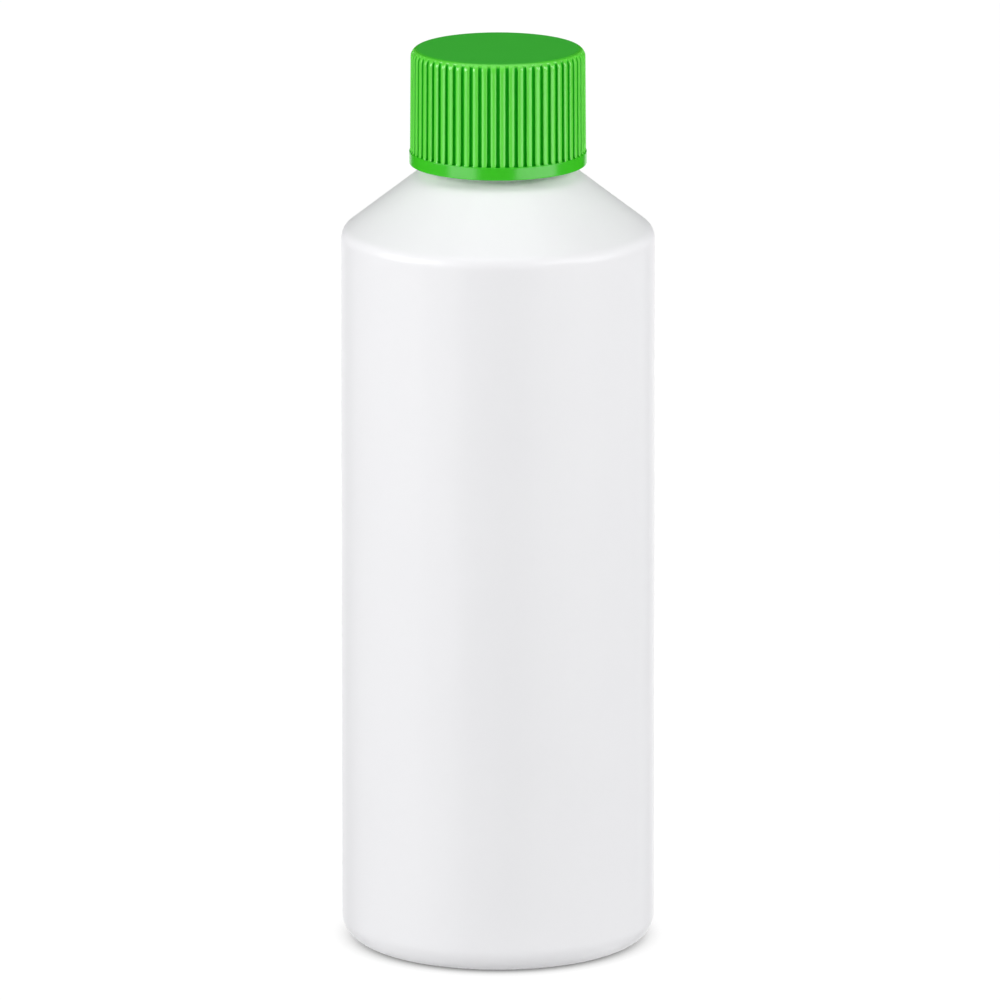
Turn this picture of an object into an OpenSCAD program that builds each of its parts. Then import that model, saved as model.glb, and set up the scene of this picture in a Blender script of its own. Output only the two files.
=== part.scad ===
// Round plastic bottle with a ribbed screw cap, standing on its base.
// The bottle is one blown shell, the cap one moulding, and a foam wad in the cap seals the mouth.
// Millimetres, +Z up, origin in the middle of the base on the surface that the bottle stands on.

/* [Body] */
// Outside diameter of the body
body_d = 54; // [50:0.5:60]
// Height at which the straight side would meet the shoulder cone
shoulder_z = 124.7; // [100:0.1:150]
// Slope of the shoulder cone above the horizontal, in degrees
shoulder_angle = 37.8; // [34:0.2:42]
// Rounding between the side and the shoulder
shoulder_edge_r = 2.6; // [2:0.1:5]
// Rounding of the outer corner at the base
base_edge_r = 4; // [3:0.1:6]
// Wall of the blown shell
wall = 1; // [0.8:0.05:1.3]

/* [Base] */
// Width of the flat ring that the bottle stands on
foot_ring_w = 2.2; // [1.5:0.1:3]
// Rounding at the inner edge of that ring, and where the step meets the dome
foot_ring_r = 0.8; // [0.4:0.1:1]
// Height of the step inside the ring
base_step_h = 1.6; // [1.2:0.1:2.2]
// Run of that step's sloping side
base_step_run = 1.4; // [1:0.1:2]
// Height of the domed base in its middle
push_up_h = 3.2; // [2.6:0.1:5]

/* [Neck] */
// Outside diameter of the neck between its threads
neck_d = 25; // [24:0.1:26]
// Bore through the neck
neck_bore_d = 21.6; // [20:0.1:22]
// Height of the neck from the shoulder cone to the mouth
neck_h = 18.1; // [17.5:0.1:22]
// Hollow rounding where the neck rises from the cone
neck_root_r = 0.8; // [0.4:0.1:1.2]
// Rounding of the two edges of the mouth
mouth_edge_r = 0.35; // [0.2:0.05:0.5]
// How much smaller in radius the transfer bead is than the thread above it
bead_below = 0.3; // [0.2:0.05:0.5]
// Height of the transfer bead
bead_h = 1.8; // [1.6:0.1:2.2]
// Distance from the foot of the neck to the transfer bead
bead_rise = 3.2; // [2.6:0.1:4]

/* [Thread] */
// Rise of the thread in one turn
thread_pitch = 4.23; // [4:0.01:4.6]
// Height of the thread ridge above the neck
thread_h = 1.1; // [0.9:0.05:1.2]
// Width of the thread ridge where it meets the neck
thread_root_w = 2.2; // [1.9:0.05:2.3]
// Width of the flat on top of the thread ridge
thread_crest_w = 1; // [0.8:0.05:1.2]
// Turns of the thread ridge
thread_turns = 1.5; // [1.25:0.05:1.75]
// Distance from the mouth down to the thread ridge
thread_drop = 1.2; // [1:0.05:1.6]
// Angle over which each end of a ridge runs out
thread_run_out = 40; // [20:10:60]

/* [Cap] */
// Thickness of the cap's top panel
cap_top_t = 1.5; // [1.2:0.05:2]
// Rounding of the cap's upper edge
cap_rim_r = 1.5; // [1.2:0.05:1.8]
// Thickness of the skirt at the crests of its ribs, at the top
cap_skirt_t = 1.13; // [1.05:0.01:1.4]
// How much further out the ribs stand at their foot than at the top
rib_taper = 0.12; // [0.05:0.01:0.25]
// How far the plain foot band stands out from the ribs above it
band_proud = 0.12; // [0.05:0.01:0.3]
// Height of the plain foot band
band_h = 2.2; // [1.6:0.1:2.8]
// Rounding of the foot band's two outer edges
band_edge_r = 0.2; // [0.1:0.05:0.3]
// Chamfer at the skirt's inner edge, which leads the cap on to the neck
lead_in = 0.6; // [0.4:0.05:0.8]
// Number of ribs round the skirt
ribs = 60; // [48:2:64]
// Width of the groove between two ribs
groove_w = 0.64; // [0.5:0.02:0.7]
// Depth of the groove between two ribs, at the top
groove_depth = 0.46; // [0.35:0.01:0.5]

/* [Wad] */
// Thickness of the sealing wad
wad_t = 1; // [0.8:0.1:1.5]

/* [Clearances] */
// Radial gap between each thread ridge and the wall that faces it
thread_clearance = 0.2; // [0.15:0.01:0.3]
// Slack of the cap's thread between the turns of the neck's, on each side
thread_play = 0.6; // [0.4:0.05:0.7]
// What is left of that slack above the cap's thread when the cap is tight
thread_seat_gap = 0.15; // [0.12:0.01:0.25]
// Gap between the foot of the neck and the foot of the tightened cap
cap_foot_gap = 0.6; // [0.4:0.1:1.5]
// Gap round the wad
wad_clearance = 0.25; // [0.15:0.05:0.4]

/* [Hidden] */
body_r = body_d / 2;
neck_r = neck_d / 2;
bore_r = neck_bore_d / 2;
cone_rise = tan(shoulder_angle);
// The cone's inside lies one wall from its outside, measured square to it
cone_wall = wall / cos(shoulder_angle);
neck_z = shoulder_z + (body_r - neck_r) * cone_rise;
mouth_z = neck_z + neck_h;
bead_z = neck_z + bead_rise;
foot_ring_in = body_r - base_edge_r - foot_ring_w;
step_in = foot_ring_in - base_step_run;
// How far the corners of the step's inside lie out from those of its outside
step_mitre = wall * tan(atan2(base_step_h, base_step_run) / 2);
bead_r = neck_r + thread_h - bead_below;
bead_edge_r = 0.3;
// Height over which the bead's upper and lower side slope in to the neck
bead_slope = 0.4;
// The cap hangs from the wad's seat on the mouth
ceiling_z = mouth_z + wad_t;
cap_top_z = ceiling_z + cap_top_t;
cap_foot_z = neck_z + cap_foot_gap;
band_z = cap_foot_z + band_h;
cap_in_r = neck_r + thread_h + thread_clearance;
crest_top_r = cap_in_r + cap_skirt_t;
crest_foot_r = crest_top_r + rib_taper;
band_r = crest_foot_r + band_proud;
// How much a ridge narrows from its root for each millimetre of its height, on both sides together
flank = (thread_root_w - thread_crest_w) / thread_h;
// The cap's ridge fills the space between two turns of the neck's, less the play on both sides
cap_thread_w = thread_pitch - (thread_crest_w - flank * thread_clearance) - 2 * thread_play;
// The neck's ridge ends thread_drop below the mouth, and the cap's ridge lies between its turns
neck_thread_z = mouth_z - thread_drop - thread_root_w / 2 - thread_turns * thread_pitch;
cap_thread_z = neck_thread_z - thread_pitch / 2 + thread_play - thread_seat_gap;
// Both ridges are rooted this deep in the wall that carries them
root_depth = 0.3;
arc_step = 9;
round_fn = 96;
thread_step = 10;

function unit(v) = v / norm(v);
function angle_of(v) = atan2(v[1], v[0]);
function short_way(a) = (a + 540) % 360 - 180;

// Arc of radius r that rounds the corner b between its neighbours a and c
function corner_arc(a, b, c, r) =
    let (
        u = unit(a - b),
        v = unit(c - b),
        half = acos(u * v) / 2,
        centre = b + unit(u + v) * r / sin(half),
        first = angle_of(b + u * r / tan(half) - centre),
        last = angle_of(b + v * r / tan(half) - centre),
        sweep = short_way(last - first),
        steps = ceil(abs(sweep) / arc_step)
    )
    [for (i = [0:steps]) centre + r * [cos(first + sweep * i / steps), sin(first + sweep * i / steps)]];

// Outline through corners given as [radius from the axis, height, rounding]
function rounded(corners) =
    let (n = len(corners), at = [for (c = corners) [c[0], c[1]]])
    [
        for (i = [0:n - 1])
            each corners[i][2] == 0
                ? [at[i]]
                : corner_arc(at[(i + n - 1) % n], at[i], at[(i + 1) % n], corners[i][2])
    ];

// Corners of a shallow dome, from its rounded rim at radius r and height low to the axis at height high
function dome(r, low, high, rim_r) =
    let (steps = 6)
    [
        for (i = [0:steps])
            let (x = r * (1 - i / steps))
            [x, low + (high - low) * (1 - pow(x / r, 2)), i == 0 ? rim_r : 0]
    ];

function reversed(list) = [for (i = [len(list) - 1:-1:0]) list[i]];

// Helical ridge on a wall of radius root_r. The ridge stands out of it by h, or into it if h is negative,
// starts at height z_start, rises one pitch a turn and fades into the wall at both ends.
module thread_ridge(root_r, h, root_w, z_start, turns) {
    side = sign(h);
    buried_r = root_r - side * root_depth;
    buried_w = root_w + root_depth * flank;
    steps = round(turns * 360 / thread_step);
    // Share of the ridge's height that is left near its ends
    function fade(a) = min(1, a / thread_run_out, (steps * thread_step - a) / thread_run_out);
    function ring(a) =
        let (
            crest_r = root_r + h * fade(a) - side * root_depth / 2 * (1 - fade(a)),
            crest_w = root_w - flank * side * (crest_r - root_r),
            z = z_start + thread_pitch * a / 360,
            section = [[buried_r, -buried_w / 2], [crest_r, -crest_w / 2], [crest_r, crest_w / 2], [buried_r, buried_w / 2]]
        )
        [for (p = section) [p[0] * cos(a), p[0] * sin(a), z + p[1]]];
    points = [for (i = [0:steps]) each ring(i * thread_step)];
    sides = [
        for (i = [0:steps - 1], k = [0:3])
            let (a = 4 * i + k, b = 4 * i + (k + 1) % 4)
            each [[a, b, b + 4], [a, b + 4, a + 4]]
    ];
    ends = [[3, 2, 1], [3, 1, 0], [4 * steps, 4 * steps + 1, 4 * steps + 2], [4 * steps, 4 * steps + 2, 4 * steps + 3]];
    faces = concat(sides, ends);
    polyhedron(points, side > 0 ? faces : [for (f = faces) reversed(f)]);
}

// Section of the blown shell: up the outside from the middle of the base, over the mouth and down the inside
function bottle_outline() =
    let (
        inner_z = shoulder_z - cone_wall + wall * cone_rise,
        inner_neck_z = inner_z + (body_r - wall - bore_r) * cone_rise
    )
    rounded(concat(
        reversed(dome(step_in, base_step_h, push_up_h, foot_ring_r)),
        [
            [foot_ring_in, 0, foot_ring_r],
            [body_r, 0, base_edge_r],
            [body_r, shoulder_z, shoulder_edge_r],
            [neck_r, neck_z, neck_root_r],
            [neck_r, bead_z, 0],
            [bead_r, bead_z + bead_slope, bead_edge_r],
            [bead_r, bead_z + bead_h - bead_slope, bead_edge_r],
            [neck_r, bead_z + bead_h, 0],
            [neck_r, mouth_z, mouth_edge_r],
            [bore_r, mouth_z, mouth_edge_r],
            [bore_r, inner_neck_z, neck_root_r + wall],
            [body_r - wall, inner_z, shoulder_edge_r - wall],
            [body_r - wall, wall, base_edge_r - wall],
            [foot_ring_in + step_mitre, wall, foot_ring_r],
        ],
        dome(step_in + step_mitre, base_step_h + wall, push_up_h + wall, foot_ring_r)
    ));

module bottle() {
    color([0.93, 0.94, 0.95]) {
        rotate_extrude($fn = round_fn) polygon(bottle_outline());
        thread_ridge(neck_r, thread_h, thread_root_w, neck_thread_z, thread_turns);
    }
}

// One slot with a round floor, cut from the foot band up the skirt and out through the rounded upper edge
module rib_groove() {
    translate([crest_top_r - groove_depth + groove_w / 2, 0, band_z])
        linear_extrude(cap_top_z - band_z + 1) {
            circle(d = groove_w, $fn = 24);
            translate([0, -groove_w / 2]) square([groove_depth + rib_taper, groove_w]);
        }
}

module cap() {
    outline = rounded([
        [0, cap_top_z, 0],
        [0, ceiling_z, 0],
        [cap_in_r, ceiling_z, 0],
        [cap_in_r, cap_foot_z + lead_in, 0],
        [cap_in_r + lead_in / 2, cap_foot_z, 0],
        [band_r, cap_foot_z, band_edge_r],
        [band_r, band_z, band_edge_r / 2],
        [crest_foot_r, band_z, 0],
        [crest_top_r, cap_top_z, cap_rim_r],
    ]);
    color([0.2, 0.75, 0.2]) {
        difference() {
            rotate_extrude($fn = round_fn) polygon(outline);
            for (i = [0:ribs - 1])
                rotate(i * 360 / ribs) rib_groove();
        }
        thread_ridge(cap_in_r, -thread_h, cap_thread_w, cap_thread_z, thread_turns);
    }
}

module cap_liner() {
    color([0.96, 0.96, 0.93])
        translate([0, 0, mouth_z])
            cylinder(r = cap_in_r - wad_clearance, h = wad_t, $fn = round_fn);
}

bottle();
cap();
cap_liner();
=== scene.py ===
"""Looks of a round white bottle with a green ribbed screw cap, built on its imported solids.

Metres, +Z up, the origin in the middle of the base. Sizes are in millimetres until a mesh is
made of them. There is one section for each piece, then one for the studio.
"""

import math

import bpy
import numpy as np
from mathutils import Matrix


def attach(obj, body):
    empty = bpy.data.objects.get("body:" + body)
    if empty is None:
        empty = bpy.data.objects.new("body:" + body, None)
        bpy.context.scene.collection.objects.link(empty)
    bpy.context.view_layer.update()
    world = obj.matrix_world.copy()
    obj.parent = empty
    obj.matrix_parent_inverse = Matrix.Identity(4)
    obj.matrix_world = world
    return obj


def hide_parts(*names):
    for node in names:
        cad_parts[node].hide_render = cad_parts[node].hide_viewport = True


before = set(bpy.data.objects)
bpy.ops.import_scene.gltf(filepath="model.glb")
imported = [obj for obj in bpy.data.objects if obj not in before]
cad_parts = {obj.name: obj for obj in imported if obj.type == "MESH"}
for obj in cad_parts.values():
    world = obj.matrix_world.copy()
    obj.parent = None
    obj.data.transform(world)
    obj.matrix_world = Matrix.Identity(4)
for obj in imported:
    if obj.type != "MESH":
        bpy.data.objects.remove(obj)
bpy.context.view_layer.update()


# The bottle: one shell of white high-density polyethylene, blown in a two-part mould. The halves
# meet at +X and -X, where they leave a fine seam, and the pinched end of the tube leaves a scar
# across the domed base. The neck's thread is a ridge of the same shell.
MM = 0.001
BODY_R = 27.0
TAPER = 0.18
WALL = 1.0
BASE_EDGE_R = 4.0
BASE_RING_W = 2.2
BASE_STEP_W = 1.4
BASE_STEP_H = 1.6
DOME_H = 1.6
SHOULDER_Z = 124.7
SHOULDER_EDGE_R = 2.6
CONE_RISE = math.tan(math.radians(37.8))
NECK_R = 12.5
NECK_H = 18.1
BORE_R = 10.8
BEAD_PROUD = 0.8
NECK_Z = SHOULDER_Z + (BODY_R - NECK_R) * CONE_RISE
MOUTH_Z = NECK_Z + NECK_H
PITCH = 4.23
THREAD_H = 1.1
THREAD_ROOT_W = 2.2
THREAD_CREST_W = 1.0
THREAD_TURNS = 1.5
THREAD_TO_MOUTH = 1.2
NECK_THREAD_Z = MOUTH_Z - THREAD_TO_MOUTH - THREAD_ROOT_W / 2 - THREAD_TURNS * PITCH
SEAM_H, SEAM_W = 0.03, 0.16
SCAR_DEPTH, SCAR_W, SCAR_REACH = 0.35, 0.35, 15


def turned_outline(corners, longest, arc_degrees=7.0, support=0.25):
    """Outline through corners (radius, height, rounding), in mm, as an array of points.

    Each rounded corner becomes an arc that touches both its sides, with a point every
    arc_degrees. Each straight side gets a point `support` from either end, and others no
    further apart than `longest`, so that its shading stays true to its own slope.
    """
    places = np.array([c[:2] for c in corners], float)
    arcs = []
    for i, (_, _, rounding) in enumerate(corners):
        if rounding == 0:
            arcs.append(places[i : i + 1])
            continue
        u = places[i - 1] - places[i]
        v = places[i + 1] - places[i]
        u, v = u / np.hypot(*u), v / np.hypot(*v)
        half = math.acos(float(u @ v)) / 2
        centre = places[i] + (u + v) / np.hypot(*(u + v)) * rounding / math.sin(half)
        a = places[i] + u * rounding / math.tan(half) - centre
        b = places[i] + v * rounding / math.tan(half) - centre
        first = math.atan2(a[1], a[0])
        sweep = (math.atan2(b[1], b[0]) - first + math.pi) % (2 * math.pi) - math.pi
        count = max(2, math.ceil(abs(math.degrees(sweep)) / arc_degrees))
        angle = first + sweep * np.linspace(0, 1, count + 1)
        arcs.append(centre + rounding * np.stack([np.cos(angle), np.sin(angle)], 1))
    outline = [arcs[0]]
    for before, after in zip(arcs, arcs[1:]):
        a, b = before[-1], after[0]
        length = np.hypot(*(b - a))
        inset = min(support, length / 3)
        count = max(1, math.ceil((length - 2 * inset) / longest))
        share = np.linspace(inset / length, 1 - inset / length, count + 1)[:, None]
        outline += [a + (b - a) * share, after]
    return np.concatenate(outline)


def ring_faces(start, columns, rows):
    """Quads between `rows` rings of `columns` points each, numbered from `start`, ring after ring."""
    j = np.arange(columns)
    quad = np.stack([j, (j + 1) % columns, (j + 1) % columns + columns, j + columns], 1)
    return (start + quad[None] + columns * np.arange(rows - 1)[:, None, None]).reshape(-1, 4)


def pole_faces(pole, start, columns, outward):
    """Triangles from one pole point to a ring. `outward` is True where the ring follows the pole."""
    j = np.arange(columns)
    k = (j + 1) % columns
    first, second = (k, j) if outward else (j, k)
    return np.stack([np.full(columns, pole), start + first, start + second], 1)


def closed_shell(name, points, face_groups, sharp_degrees=35):
    """A smooth mesh object from an array of points, in mm, and arrays of faces of one size each."""
    mesh = bpy.data.meshes.new(name)
    sizes = np.concatenate([np.full(len(g), g.shape[1]) for g in face_groups])
    corners = np.concatenate([g.ravel() for g in face_groups])
    mesh.vertices.add(len(points))
    mesh.vertices.foreach_set("co", (np.asarray(points) * MM).ravel())
    mesh.loops.add(len(corners))
    mesh.loops.foreach_set("vertex_index", corners)
    mesh.polygons.add(len(sizes))
    mesh.polygons.foreach_set("loop_start", np.concatenate([[0], np.cumsum(sizes)[:-1]]))
    mesh.polygons.foreach_set("use_smooth", np.ones(len(sizes), bool))
    mesh.update(calc_edges=True)
    mesh.validate()
    mesh.set_sharp_from_angle(angle=math.radians(sharp_degrees))
    made = bpy.data.objects.new(name, mesh)
    bpy.context.scene.collection.objects.link(made)
    return made


def soft_step(x):
    """0 below 0, 1 above 1, and between them three times x squared less twice x cubed."""
    x = np.clip(x, 0, 1)
    return x * x * (3 - 2 * x)


def helix_ridge(angle, z, start_z, root_w, crest_w, height):
    """Height of a one-and-a-half-turn thread ridge over a wall, at angle (radians) and height z.

    The ridge's middle climbs one pitch a turn from start_z at angle 0. Across it the height is a
    trapezoid whose corners are rounded by a smooth minimum, and along it both ends run out over
    40 degrees.
    """
    run_out_angle, corner, end = math.radians(40), 0.16, 2 * math.pi * THREAD_TURNS
    ridge = np.zeros(np.broadcast(angle, z).shape)
    for turn in (0, 1):
        along = angle + 2 * math.pi * turn
        run_out = soft_step(along / run_out_angle) * soft_step((end - along) / run_out_angle)
        off = np.abs(z - start_z - PITCH * along / (2 * math.pi))
        flank = (root_w / 2 - off) / ((root_w - crest_w) / 2)
        low = np.minimum(flank, 1) - np.clip(corner - np.abs(flank - 1), 0, None) ** 2 / (4 * corner)
        foot = np.maximum(low, 0) + np.clip(corner - np.abs(low), 0, None) ** 2 / (4 * corner)
        ridge = np.maximum(ridge, height * run_out * foot)
    return ridge


def blown_shell():
    """The shell as radius(row, angle) at height(row): an outline turned round the axis.

    Added to the turned radius are the thread's ridge on the neck, the seam, a bell-shaped ridge
    at angles 0 and pi, and the blown wall's shallow waves: three sines of angle and height, each
    under 0.02 mm. The scar is a bell-shaped dip in height along the X axis. Its mask takes every
    height above 1.5 mm inside the dome's radius, so it dips the neck's outside as well, from the
    neck's foot up.
    """
    cone_wall = WALL / math.cos(math.atan(CONE_RISE))
    inner_z = SHOULDER_Z - cone_wall + WALL * CONE_RISE
    inner_neck_z = inner_z + (BODY_R - WALL - BORE_R) * CONE_RISE
    ring_in = BODY_R - BASE_EDGE_R - BASE_RING_W
    step_in = ring_in - BASE_STEP_W
    mitre = WALL * math.tan(math.atan2(BASE_STEP_H, BASE_STEP_W) / 2)
    step_edge_r, mouth_edge_r, bead_edge_r, bead_foot_r = 0.8, 0.35, 0.3, 0.2
    pole_z = BASE_STEP_H + DOME_H
    dome = np.linspace(0.02, 0.98, 12)
    thread_low, thread_high, thread_row_h = NECK_THREAD_Z - 1.4, MOUTH_Z - 0.9, 0.14
    outside = turned_outline(
        [(0.4, pole_z, 0)]
        + [(step_in * s, BASE_STEP_H + DOME_H * (1 - s * s), 0) for s in dome]
        + [
            (step_in, BASE_STEP_H, step_edge_r),
            (ring_in, 0, step_edge_r),
            (BODY_R, 0, BASE_EDGE_R),
            (BODY_R - TAPER, SHOULDER_Z + TAPER * CONE_RISE, SHOULDER_EDGE_R),
            (NECK_R, NECK_Z, 0.8),
            (NECK_R, NECK_Z + 3.2, bead_foot_r),
            (NECK_R + BEAD_PROUD, NECK_Z + 3.6, bead_edge_r),
            (NECK_R + BEAD_PROUD, NECK_Z + 4.6, bead_edge_r),
            (NECK_R, NECK_Z + 5.0, bead_foot_r),
            (NECK_R, thread_low, 0),
        ],
        longest=5,
    )
    thread_rows = np.arange(thread_low, thread_high, thread_row_h)[1:]
    neck = np.stack([np.full(len(thread_rows), NECK_R), thread_rows], 1)
    inside = turned_outline(
        [
            (NECK_R, thread_high, 0),
            (NECK_R, MOUTH_Z, mouth_edge_r),
            (BORE_R, MOUTH_Z, mouth_edge_r),
            (BORE_R, inner_neck_z, 1.8),
            (BODY_R - WALL, inner_z, SHOULDER_EDGE_R - WALL),
            (BODY_R - WALL, WALL, BASE_EDGE_R - WALL),
            (ring_in + mitre, WALL, step_edge_r),
            (step_in + mitre, BASE_STEP_H + WALL, step_edge_r),
        ]
        + [((step_in + mitre) * s, BASE_STEP_H + WALL + DOME_H * (1 - s * s), 0) for s in dome[::-3]],
        longest=12,
    )
    outline = np.concatenate([outside, neck, inside])
    rows, columns = len(outline), 288
    angle = np.linspace(0, 2 * math.pi, columns, endpoint=False)[None]
    radius, z = outline[:, :1], outline[:, 1:]
    is_outside = (np.arange(rows) < len(outside) + len(neck))[:, None]
    on_wall = is_outside * soft_step(z / 6) * soft_step((SHOULDER_Z - z) / 6)
    waves = (
        0.014 * np.sin(3 * angle + z / 9.1)
        + 0.010 * np.sin(5 * angle - z / 6.3 + 1)
        + 0.008 * np.sin(2 * angle + z / 4.7 + 2)
    )
    beside_seam = np.abs(np.sin(angle)) * radius
    on_seam = is_outside * soft_step((z - 2) / 2) * (radius > NECK_R - 0.1)
    seam = SEAM_H * np.exp(-((beside_seam / SEAM_W) ** 2)) * on_seam
    thread = is_outside * helix_ridge(angle, z, NECK_THREAD_Z, THREAD_ROOT_W, THREAD_CREST_W, THREAD_H)
    full_radius = radius + on_wall * waves + seam + thread
    x, y = full_radius * np.cos(angle), full_radius * np.sin(angle)
    in_scar_mask = is_outside * (z > 1.5) * (radius < step_in)
    along_scar = soft_step((SCAR_REACH - np.abs(x)) / 1.5) * in_scar_mask
    scar = -SCAR_DEPTH * np.exp(-((y / SCAR_W) ** 2)) * along_scar
    grid = np.stack([x, y, z + scar], 2).reshape(-1, 3)
    points = np.concatenate([grid, [[0, 0, pole_z - SCAR_DEPTH], [0, 0, outline[-1, 1]]]])
    return closed_shell(
        "bottle_shell",
        points,
        [
            ring_faces(0, columns, rows),
            pole_faces(rows * columns, 0, columns, True),
            pole_faces(rows * columns + 1, (rows - 1) * columns, columns, False),
        ],
    )


def plastic(name, colour, roughness, specular):
    """A material, its node tree, its Principled shader, and the place in the object, in metres."""
    material = bpy.data.materials.new(name)
    material.use_nodes = True
    tree = material.node_tree
    shader = tree.nodes["Principled BSDF"]
    shader.inputs["Base Color"].default_value = (*colour, 1)
    shader.inputs["Roughness"].default_value = roughness
    shader.inputs["Specular IOR Level"].default_value = specular
    place = tree.nodes.new("ShaderNodeTexCoord")
    return material, tree, shader, place.outputs["Object"]


def noise(tree, vector, per_metre, detail=2.0, stretch=(1, 1, 1)):
    """Noise of about `per_metre` blobs to the metre, drawn out along an axis by a small stretch."""
    mapping = tree.nodes.new("ShaderNodeMapping")
    mapping.inputs["Scale"].default_value = stretch
    tree.links.new(vector, mapping.inputs["Vector"])
    made = tree.nodes.new("ShaderNodeTexNoise")
    made.inputs["Scale"].default_value = per_metre
    made.inputs["Detail"].default_value = detail
    tree.links.new(mapping.outputs[0], made.inputs["Vector"])
    return made.outputs["Fac"]


def spread(tree, value, low, high, from_low=0.3, from_high=0.7):
    """Maps a value's range, by default that of a noise, to the range low to high."""
    made = tree.nodes.new("ShaderNodeMapRange")
    sockets = "From Min", "From Max", "To Min", "To Max"
    for socket, number in zip(sockets, (from_low, from_high, low, high)):
        made.inputs[socket].default_value = number
    tree.links.new(value, made.inputs["Value"])
    return made.outputs[0]


def bump(tree, height, depth_mm, after=None):
    """A bump whose full height is depth_mm, laid over the one given as `after`."""
    made = tree.nodes.new("ShaderNodeBump")
    made.inputs["Distance"].default_value = depth_mm * MM
    tree.links.new(height, made.inputs["Height"])
    if after is not None:
        tree.links.new(after, made.inputs["Normal"])
    return made.outputs[0]


def tint(tree, factor, low, high):
    """A colour between low and high, by factor. Each is three numbers or another colour's socket."""
    made = tree.nodes.new("ShaderNodeMix")
    made.data_type = "RGBA"
    for socket, colour in ((made.inputs[6], low), (made.inputs[7], high)):
        if isinstance(colour, tuple):
            socket.default_value = (*colour, 1)
        else:
            tree.links.new(colour, socket)
    tree.links.new(factor, made.inputs[0])
    return made.outputs[2]


# Satin white polyethylene: a faintly cool white, a low broad sheen, the fine grain of the blasted
# mould, and faint upright drag lines where the tube was drawn before it was blown.
white_plastic, tree, shader, place = plastic("white_blown_plastic", (0.86, 0.86, 0.875), 0.33, 0.5)
cloud = noise(tree, place, 60, 3)
drag = noise(tree, place, 700, 2, (1, 1, 0.02))
grain = noise(tree, place, 2600, 2)
white = tint(tree, cloud, (0.91, 0.91, 0.93), (0.93, 0.93, 0.945))
tree.links.new(white, shader.inputs["Base Color"])
tree.links.new(spread(tree, drag, 0.30, 0.37), shader.inputs["Roughness"])
relief = bump(tree, grain, 0.004, bump(tree, drag, 0.006, bump(tree, cloud, 0.05)))
tree.links.new(relief, shader.inputs["Normal"])

bottle_shell = blown_shell()
bottle_shell.data.materials.append(white_plastic)
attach(bottle_shell, "bottle")
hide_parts("bottle")


# The cap: one moulding of green polypropylene, unscrewed from its mould. Sixty crowned ribs with
# rolled edges stand between flat-floored grooves, which run out on the rounded rim and end above a
# plain foot band. The top is matt from its etched mould, and the band and the ribs have some gloss.
THREAD_GAP = 0.2
CAP_IN_R = NECK_R + THREAD_H + THREAD_GAP
CEILING_Z = MOUTH_Z + 1.0
CAP_TOP_Z = CEILING_Z + 1.5
CAP_FOOT_Z = NECK_Z + 0.6
BAND_Z = CAP_FOOT_Z + 2.2
SKIRT_LEAN = 0.12
CREST_TOP_R = CAP_IN_R + 1.13
CREST_FOOT_R = CREST_TOP_R + SKIRT_LEAN
BAND_R = CREST_FOOT_R + 0.12
RIM_R = 1.5
RIBS = 60
RIB_R = 15.0
HALF_PITCH = math.pi * RIB_R / RIBS
GROOVE_HALF_W = 0.3
GROOVE_FLOOR_R = 14.4
GROOVE_EDGE_R = 0.08
CROWN_H = 0.12
FLANK = (THREAD_ROOT_W - THREAD_CREST_W) / THREAD_H
CAP_THREAD_ROOT_W = PITCH - (THREAD_CREST_W - FLANK * THREAD_GAP) - 1.2
CAP_THREAD_CREST_W = CAP_THREAD_ROOT_W - FLANK * THREAD_H
CAP_THREAD_Z = NECK_THREAD_Z - PITCH / 2 + 0.6 - 0.15


def groove_cut(radius, z, normal_r, across):
    """How deep each groove cuts below the crest surface, at profile points and offsets across it.

    The solid is what lies inside the crest surface and outside a slot with a flat floor, which
    widens by a bell curve at its foot. The crests are crowned: they fall by CROWN_H from a rib's
    middle to its groove, as the power 1.4 of the way there. The crown grows over the first 0.3 mm
    above the band and fades out on the rim, from radius 15.0 in to 14.6. The corner between crest
    and slot is rolled round by GROOVE_EDGE_R. The depth is found by halving: it is where the
    joined field is zero on the line from the crest surface inwards.
    """
    deepest, halvings = 1.3, 30
    half = GROOVE_HALF_W + 0.07 * np.exp(-(((z - BAND_Z) / 0.45) ** 2))
    crown = CROWN_H * ((HALF_PITCH - across) / (HALF_PITCH - GROOVE_HALF_W)) ** 1.4
    crown = crown * soft_step((radius - 14.6) / 0.4) * soft_step((z - BAND_Z) / 0.3)
    shape = np.broadcast(radius, across).shape
    low, high = np.zeros(shape), np.full(shape, deepest)
    for _ in range(halvings):
        deep = (low + high) / 2
        at_r = radius - normal_r * deep
        in_slot = np.minimum(half - across * at_r / RIB_R, at_r - GROOVE_FLOOR_R)
        joined = np.minimum(-GROOVE_EDGE_R, np.maximum(crown - deep, in_slot)) + np.hypot(
            np.maximum(GROOVE_EDGE_R + crown - deep, 0), np.maximum(GROOVE_EDGE_R + in_slot, 0)
        )
        low, high = np.where(joined > 0, deep, low), np.where(joined > 0, high, deep)
    return (low + high) / 2


def round_grid(radius, angle, z):
    """Points over (row, angle): the radius times the angle's cosine, times its sine, and z."""
    x, y, z = np.broadcast_arrays(radius * np.cos(angle), radius * np.sin(angle), z)
    return np.stack([x, y, z], 2).reshape(-1, 3)


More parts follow.
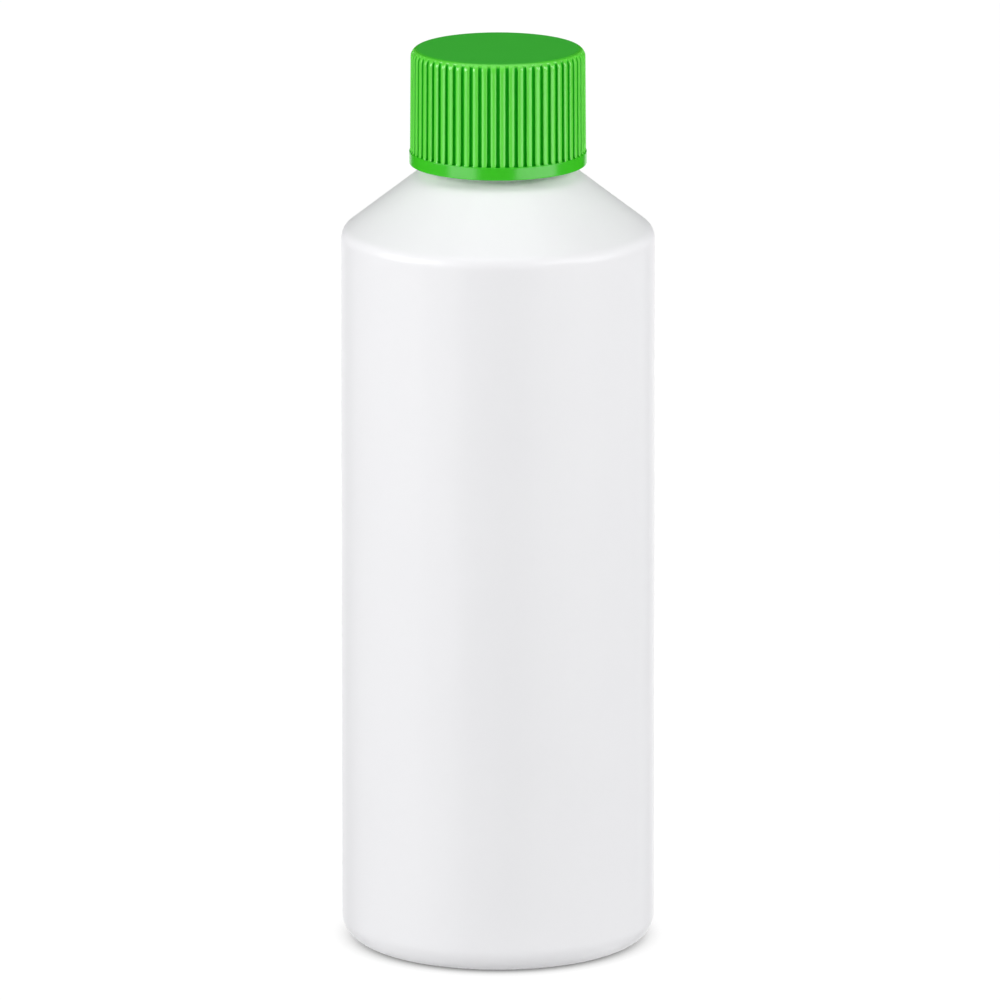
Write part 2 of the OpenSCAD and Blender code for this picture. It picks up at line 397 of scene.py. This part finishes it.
def ribbed_cap():
    """The cap as radius and height over (row, angle), from the ceiling's middle out and up again.

    The inside is a turned outline with the thread's ridge taken off its radius. The outside is
    the turned crest surface, moved inwards along its normal by groove_cut. It has three times as
    many columns as the inside, 18 to a rib, close together at the rib's edges. The depth of the
    cut is kept as the point attribute groove_depth, in mm.
    """
    aside = np.array([0, 0.16, 0.27, 0.295, 0.32, 0.35, 0.4, 0.48, 0.62])
    across = np.concatenate([aside, [HALF_PITCH], -aside[:0:-1]])
    columns = RIBS * len(across)
    centre = 2 * math.pi / RIBS * np.arange(RIBS)[:, None]
    angle = (centre + np.where(across < 0, across + 2 * HALF_PITCH, across)[None] / RIB_R).ravel()
    inner_angle = angle[::3]
    thread_low, thread_high, thread_row_h = MOUTH_Z - 11.7, MOUTH_Z - 2.5, 0.15
    thread_rows = np.arange(thread_low, thread_high, thread_row_h)[::-1]
    ceiling = turned_outline(
        [(1.0, CEILING_Z, 0), (CAP_IN_R, CEILING_Z, 0.3), (CAP_IN_R, thread_high, 0)], longest=5
    )
    lead_in, foot_edge_r = 0.3, 0.1
    skirt = turned_outline(
        [
            (CAP_IN_R, thread_low, 0),
            (CAP_IN_R, CAP_FOOT_Z + 0.6, foot_edge_r),
            (CAP_IN_R + lead_in, CAP_FOOT_Z, foot_edge_r),
            (CAP_IN_R + 2 * lead_in, CAP_FOOT_Z, 0),
        ],
        longest=2,
        support=0.12,
    )
    threaded = np.stack([np.full(len(thread_rows), CAP_IN_R), thread_rows], 1)
    inside = np.concatenate([ceiling, threaded, skirt])
    r, z = inside[:, :1], inside[:, 1:]
    ridge = helix_ridge(
        inner_angle[None], z, CAP_THREAD_Z, CAP_THREAD_ROOT_W, CAP_THREAD_CREST_W, THREAD_H
    )
    inner_r = r - ridge * (r > CAP_IN_R - 0.01) * (z < CEILING_Z - 1)

    foot = turned_outline(
        [
            (CAP_IN_R + 2 * lead_in, CAP_FOOT_Z, 0),
            (BAND_R, CAP_FOOT_Z, 0.2),
            (BAND_R, BAND_Z, 0.1),
            (CREST_FOOT_R, BAND_Z, 0),
        ],
        longest=1.5,
        arc_degrees=18,
        support=0.06,
    )[1:-1]
    rise = turned_outline(
        [(CREST_FOOT_R, BAND_Z, 0), (CREST_TOP_R, CAP_TOP_Z, RIM_R), (9.0, CAP_TOP_Z, 0)],
        longest=4,
        arc_degrees=3.4,
    )
    foot_rows = BAND_Z + np.array([0.0, 0.05, 0.12, 0.22, 0.34, 0.5, 0.75])
    low_rise_r = CREST_FOOT_R - (foot_rows - BAND_Z) * SKIRT_LEAN / (CAP_TOP_Z - BAND_Z)
    low_rise = np.stack([low_rise_r, foot_rows], 1)
    rise = np.concatenate([low_rise, rise[rise[:, 1] > foot_rows[-1] + 0.3]])
    slope = np.gradient(rise, axis=0)
    slope /= np.hypot(slope[:, 0], slope[:, 1])[:, None]
    cut = groove_cut(rise[:, :1], rise[:, 1:], slope[:, 1:], np.abs(across)[None])
    cut = cut * (rise[:, 1:] < CAP_TOP_Z - 0.02)
    ribbed_r = np.tile(rise[:, :1] - slope[:, 1:] * cut, (1, RIBS))
    ribbed_z = np.tile(rise[:, 1:] + slope[:, :1] * cut, (1, RIBS))
    ribbed_z[: len(foot_rows)] = foot_rows[:, None]
    outer_r = np.concatenate([np.repeat(foot[:, :1], columns, 1), ribbed_r])
    outer_z = np.concatenate([np.repeat(foot[:, 1:], columns, 1), ribbed_z])

    lid_r = np.array([8.6, 5.0, 2.0])[:, None]
    inner = round_grid(inner_r, inner_angle, z)
    outer = round_grid(outer_r, angle, outer_z)
    lid = round_grid(lid_r, inner_angle, CAP_TOP_Z)
    points = np.concatenate([inner, outer, lid, [[0, 0, CEILING_Z], [0, 0, CAP_TOP_Z]]])
    count = len(inner_angle)
    outer_start, lid_start = len(inner), len(inner) + len(outer)
    last_inner, last_outer = outer_start - count, lid_start - columns
    j = np.arange(count)
    k = (j + 1) % count
    low, high = outer_start + 3 * j, last_outer + 3 * j
    widen = np.stack(
        [last_inner + j, last_inner + k, outer_start + 3 * k, low + 2, low + 1, low], 1
    )
    narrow = np.stack(
        [high, high + 1, high + 2, last_outer + 3 * k, lid_start + k, lid_start + j], 1
    )
    made = closed_shell(
        "cap_shell",
        points,
        [
            ring_faces(0, count, len(inside)),
            widen,
            ring_faces(outer_start, columns, len(outer_r)),
            narrow,
            ring_faces(lid_start, count, len(lid_r)),
            pole_faces(len(points) - 2, 0, count, True),
            pole_faces(len(points) - 1, lid_start + (len(lid_r) - 1) * count, count, False),
        ],
        sharp_degrees=50,
    )
    depth = np.zeros(len(points), np.float32)
    depth[outer_start + len(foot) * columns : lid_start] = np.tile(cut, (1, RIBS)).ravel()
    made.data.attributes.new("groove_depth", "FLOAT", "POINT").data.foreach_set("value", depth)
    return made


def calculate(tree, operation, first, second):
    """The result of a Math node on two values. Each is a number or a socket."""
    made = tree.nodes.new("ShaderNodeMath")
    made.operation = operation
    for socket, value in zip(made.inputs, (first, second)):
        if isinstance(value, (int, float)):
            socket.default_value = value
        else:
            tree.links.new(value, socket)
    return made.outputs[0]


# Green polypropylene, a clear green as on the band. The ribs are painted lighter, a painted highlight.
# The grooves, whose depth comes from the mesh, are painted deep green, a painted shade, and are dull,
# with less sheen. The matt top is painted a darker green, also a painted shade.
BAND_GREEN = (0.045, 0.56, 0.016)
# Painted highlight: the ribs' lighter green stands in for the sheen on their crests.
RIB_HIGHLIGHT_GREEN = (0.125, 0.74, 0.058)
# Painted shade: the grooves' deeper green stands in for the shade inside them.
GROOVE_SHADE_GREEN = (0.010, 0.52, 0.010)
# Painted shade: the top's darker green stands in for shade on the top; the noise between the two is a
# random tone.
TOP_SHADE_GREENS = (0.034, 0.46, 0.026), (0.038, 0.48, 0.029)
GLOSSY, MATT = 0.22, 0.6
green_plastic, tree, shader, place = plastic("green_moulded_plastic", (0.042, 0.565, 0.016), GLOSSY, 0.5)
cloud = noise(tree, place, 180, 3)
etched = noise(tree, place, 4200, 2)
split = tree.nodes.new("ShaderNodeSeparateXYZ")
tree.links.new(place, split.inputs[0])
level = split.outputs["Z"]
cut_depth = tree.nodes.new("ShaderNodeAttribute")
cut_depth.attribute_name = "groove_depth"
on_top = spread(tree, level, 0, 1, (CAP_TOP_Z - 0.12) * MM, (CAP_TOP_Z - 0.01) * MM)
# Where the grooves are deep: painted shade in the colour, more roughness and less sheen.
groove_shade_mask = spread(tree, cut_depth.outputs["Fac"], 0, 1, 0.12, 0.3)
# Where the ribs get their painted highlight: from just above the band to just below the top.
above_band = spread(tree, level, 0, 1, BAND_Z * MM, (BAND_Z + 0.2) * MM)
below_top = spread(tree, level, 1, 0, (CAP_TOP_Z - 0.25) * MM, (CAP_TOP_Z - 0.02) * MM)
rib_highlight_mask = calculate(tree, "MULTIPLY", above_band, below_top)
rib_highlight_colour = tint(tree, rib_highlight_mask, BAND_GREEN, RIB_HIGHLIGHT_GREEN)
skirt_highlight_and_shade = tint(tree, groove_shade_mask, rib_highlight_colour, GROOVE_SHADE_GREEN)
# The top's colour, a painted shade with a random tone.
top_shade_colour = tint(tree, cloud, *TOP_SHADE_GREENS)
tree.links.new(tint(tree, on_top, skirt_highlight_and_shade, top_shade_colour), shader.inputs["Base Color"])
top_rough = spread(tree, on_top, GLOSSY, MATT, 0, 1)
groove_rough = spread(tree, groove_shade_mask, GLOSSY, MATT, 0, 1)
tree.links.new(calculate(tree, "MAXIMUM", top_rough, groove_rough), shader.inputs["Roughness"])
tree.links.new(spread(tree, groove_shade_mask, 0.75, 0.1, 0, 1), shader.inputs["Specular IOR Level"])
tree.links.new(bump(tree, etched, 0.006, bump(tree, cloud, 0.01)), shader.inputs["Normal"])

cap_shell = ribbed_cap()
cap_shell.data.materials.append(green_plastic)
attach(cap_shell, "cap")
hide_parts("cap")


# The wad: a disc stamped from expanded polyethylene foam, loose between the cap and the mouth.
# Its flat skins are smooth, its cut edge shows fine cells.
WAD_R = 13.55
WAD_HOLLOW = 0.05


def stamped_disc():
    """A turned outline of a disc that fills the space from mouth to ceiling, with a hollow edge."""
    skin_edge_r, pole_r = 0.12, 1.0
    outline = turned_outline(
        [
            (pole_r, MOUTH_Z, 0),
            (WAD_R, MOUTH_Z, skin_edge_r),
            (WAD_R - WAD_HOLLOW, (MOUTH_Z + CEILING_Z) / 2, 0.5),
            (WAD_R, CEILING_Z, skin_edge_r),
            (pole_r, CEILING_Z, 0),
        ],
        longest=4,
        arc_degrees=15,
        support=0.1,
    )
    columns = 192
    angle = np.linspace(0, 2 * math.pi, columns, endpoint=False)
    grid = round_grid(outline[:, :1], angle, outline[:, 1:])
    points = np.concatenate([grid, [[0, 0, MOUTH_Z], [0, 0, CEILING_Z]]])
    return closed_shell(
        "foam_wad",
        points,
        [
            ring_faces(0, columns, len(outline)),
            pole_faces(len(grid), 0, columns, True),
            pole_faces(len(grid) + 1, len(grid) - columns, columns, False),
        ],
    )


foam, tree, shader, place = plastic("white_foam", (0.86, 0.85, 0.81), 0.6, 0.3)
cells = tree.nodes.new("ShaderNodeTexVoronoi")
cells.inputs["Scale"].default_value = 3500
tree.links.new(place, cells.inputs["Vector"])
tree.links.new(bump(tree, cells.outputs["Distance"], 0.02), shader.inputs["Normal"])
off_white = tint(tree, noise(tree, place, 500), (0.84, 0.83, 0.79), (0.88, 0.87, 0.83))
tree.links.new(off_white, shader.inputs["Base Color"])

foam_wad = stamped_disc()
foam_wad.data.materials.append(foam)
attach(foam_wad, "liner")
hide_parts("cap_liner")


# The studio: a white floor that keeps a faint true shadow of the bottle and a painted contact shadow at
# its foot, a white room, a ring of dark cloth that only sheen sees, and ten soft boxes round the bottle.
# The camera stands 2 m from the bottle, half a metre up, and looks down on it by 13.5 degrees.
bpy.context.scene.view_settings.view_transform = "Standard"

floor_mesh = bpy.data.meshes.new("studio_floor")
floor_mesh.from_pydata([(-4, -4, 0), (4, -4, 0), (4, 4, 0), (-4, 4, 0)], [], [(0, 1, 2, 3)])
studio_floor = bpy.data.objects.new("studio_floor", floor_mesh)
studio_floor.visible_glossy = False
studio_floor.visible_shadow = False
bpy.context.scene.collection.objects.link(studio_floor)


def seen_or_lit(tree, seen_shader, lit_shader):
    """Mixes two shaders: the first for camera, glossy and transmission rays, the second for the rest."""
    path = tree.nodes.new("ShaderNodeLightPath")
    rays = path.outputs["Is Camera Ray"]
    for other in ("Is Glossy Ray", "Is Transmission Ray"):
        rays = calculate(tree, "MAXIMUM", rays, path.outputs[other])
    pick = tree.nodes.new("ShaderNodeMixShader")
    tree.links.new(rays, pick.inputs[0])
    tree.links.new(lit_shader, pick.inputs[1])
    tree.links.new(seen_shader, pick.inputs[2])
    return pick.outputs[0]


# White paper: it glows at 0.95 where the camera sees it, less within 5 mm of the bottle's foot, a
# painted contact shadow, and takes a little of the lamps' true light and shadow. Rays that a surface
# scatters meet plain grey.
floor_paper = bpy.data.materials.new("floor_paper")
floor_paper.use_nodes = True
tree = floor_paper.node_tree
tree.nodes.clear()
out = tree.nodes.new("ShaderNodeOutputMaterial")
paper = tree.nodes.new("ShaderNodeBsdfDiffuse")
paper.inputs["Color"].default_value = (0.1, 0.1, 0.1, 1)
near = tree.nodes.new("ShaderNodeAmbientOcclusion")
near.inputs["Distance"].default_value = 0.005
near.samples = 16
glow = tree.nodes.new("ShaderNodeEmission")
# Painted contact shadow: the glow dims where ambient occlusion finds the bottle's foot within 5 mm.
closed = calculate(tree, "SUBTRACT", 1, near.outputs["AO"])
painted_contact_shadow = calculate(tree, "POWER", closed, 2.6)
tree.links.new(spread(tree, painted_contact_shadow, 0.95, 0.15, 0, 1), glow.inputs["Strength"])
both = tree.nodes.new("ShaderNodeAddShader")
tree.links.new(paper.outputs[0], both.inputs[0])
tree.links.new(glow.outputs[0], both.inputs[1])
plain = tree.nodes.new("ShaderNodeBsdfDiffuse")
plain.inputs["Color"].default_value = (0.5, 0.5, 0.5, 1)
tree.links.new(seen_or_lit(tree, both.outputs[0], plain.outputs[0]), out.inputs["Surface"])
floor_mesh.materials.append(floor_paper)

world = bpy.data.worlds.new("white_room")
bpy.context.scene.world = world
world.use_nodes = True
tree = world.node_tree
tree.nodes.clear()
out = tree.nodes.new("ShaderNodeOutputWorld")
white = tree.nodes.new("ShaderNodeBackground")
white.inputs["Color"].default_value = (1, 1, 1, 1)
dark = tree.nodes.new("ShaderNodeBackground")
dark.inputs["Color"].default_value = (0, 0, 0, 1)
tree.links.new(seen_or_lit(tree, white.outputs[0], dark.outputs[0]), out.inputs["Surface"])


def dark_cloth():
    """A ring of cloth round the bottle, in m, cut out low down over 25 degrees to each side behind it.

    Above `middle` it closes the whole turn. Below that its columns cover only 155 degrees to each
    side of the camera, so that the bottle's outline mirrors the white room behind it.
    """
    radius, low, middle, high, columns = 3.2, -2.5, -0.3, 5.0, 144
    opening = math.radians(25)
    turn = np.linspace(0, 2 * math.pi, columns, endpoint=False)
    ring = np.stack([radius * np.sin(turn), -radius * np.cos(turn)], 1)
    levels = [np.concatenate([ring, np.full((columns, 1), z)], 1) for z in (low, middle, high)]
    faces = ring_faces(0, columns, len(levels))
    behind = np.abs(turn + math.pi / columns - math.pi) < opening
    faces = faces[~np.concatenate([behind, np.zeros(columns, bool)])]
    mesh = bpy.data.meshes.new("dark_cloth")
    mesh.from_pydata(np.concatenate(levels).tolist(), [], faces.tolist())
    made = bpy.data.objects.new("dark_cloth", mesh)
    bpy.context.scene.collection.objects.link(made)
    cloth = bpy.data.materials.new("dark_cloth")
    cloth.use_nodes = True
    shader = cloth.node_tree.nodes["Principled BSDF"]
    shader.inputs["Base Color"].default_value = (0.02, 0.02, 0.02, 1)
    shader.inputs["Specular IOR Level"].default_value = 0
    mesh.materials.append(cloth)
    made.visible_camera = made.visible_diffuse = False
    made.visible_shadow = made.visible_transmission = False


dark_cloth()


def soft_box(name, azimuth, elevation, width, height, watts, in_sheen=True):
    """An area lamp of width by height, in m, that faces the bottle from a direction in degrees."""
    distance, aim_z = 1.2, 0.08
    lamp = bpy.data.lights.new(name, "AREA")
    lamp.shape = "RECTANGLE"
    lamp.size, lamp.size_y, lamp.energy = width, height, watts
    made = bpy.data.objects.new(name, lamp)
    made.visible_glossy = in_sheen
    bpy.context.scene.collection.objects.link(made)
    a, e = math.radians(azimuth), math.radians(elevation)
    made.location = (
        distance * math.sin(a) * math.cos(e),
        -distance * math.cos(a) * math.cos(e),
        aim_z + distance * math.sin(e),
    )
    made.rotation_euler = (math.pi / 2 - e, 0, a)


soft_box("left_box", -47, -11, 0.83, 0.32, 1.9)
soft_box("right_box", 52, -11, 1.28, 0.32, 3.0)
soft_box("left_side_box", -78, 14, 0.6, 0.5, 4.4)
soft_box("right_side_box", 78, 14, 0.6, 0.5, 3.9)
soft_box("left_rim_box", -105, 20, 0.7, 0.6, 1.8, in_sheen=False)
soft_box("right_rim_box", 105, 20, 0.7, 0.6, 3.4, in_sheen=False)
soft_box("left_fill", -54, 22, 0.5, 0.5, 5.0)
soft_box("right_fill", 50, 30, 0.5, 0.5, 3.6)
soft_box("top_box", 0, 70, 1.1, 0.6, 5.2, in_sheen=False)
soft_box("back_box", 180, -2, 1.8, 0.8, 11, in_sheen=False)

CAMERA_DISTANCE = 1.993
CAMERA_TILT = math.radians(13.51)
CAMERA_AIM = (0.00034, 0.07727)
camera = bpy.data.cameras.new("camera")
camera.sensor_width = 36
camera.lens = 417.0
camera.clip_start, camera.clip_end = 0.1, 20
viewer = bpy.data.objects.new("camera", camera)
bpy.context.scene.collection.objects.link(viewer)
viewer.location = (
    CAMERA_AIM[0],
    -CAMERA_DISTANCE * math.cos(CAMERA_TILT),
    CAMERA_AIM[1] + CAMERA_DISTANCE * math.sin(CAMERA_TILT),
)
viewer.rotation_euler = (math.pi / 2 - CAMERA_TILT, 0, 0)
bpy.context.scene.camera = viewer
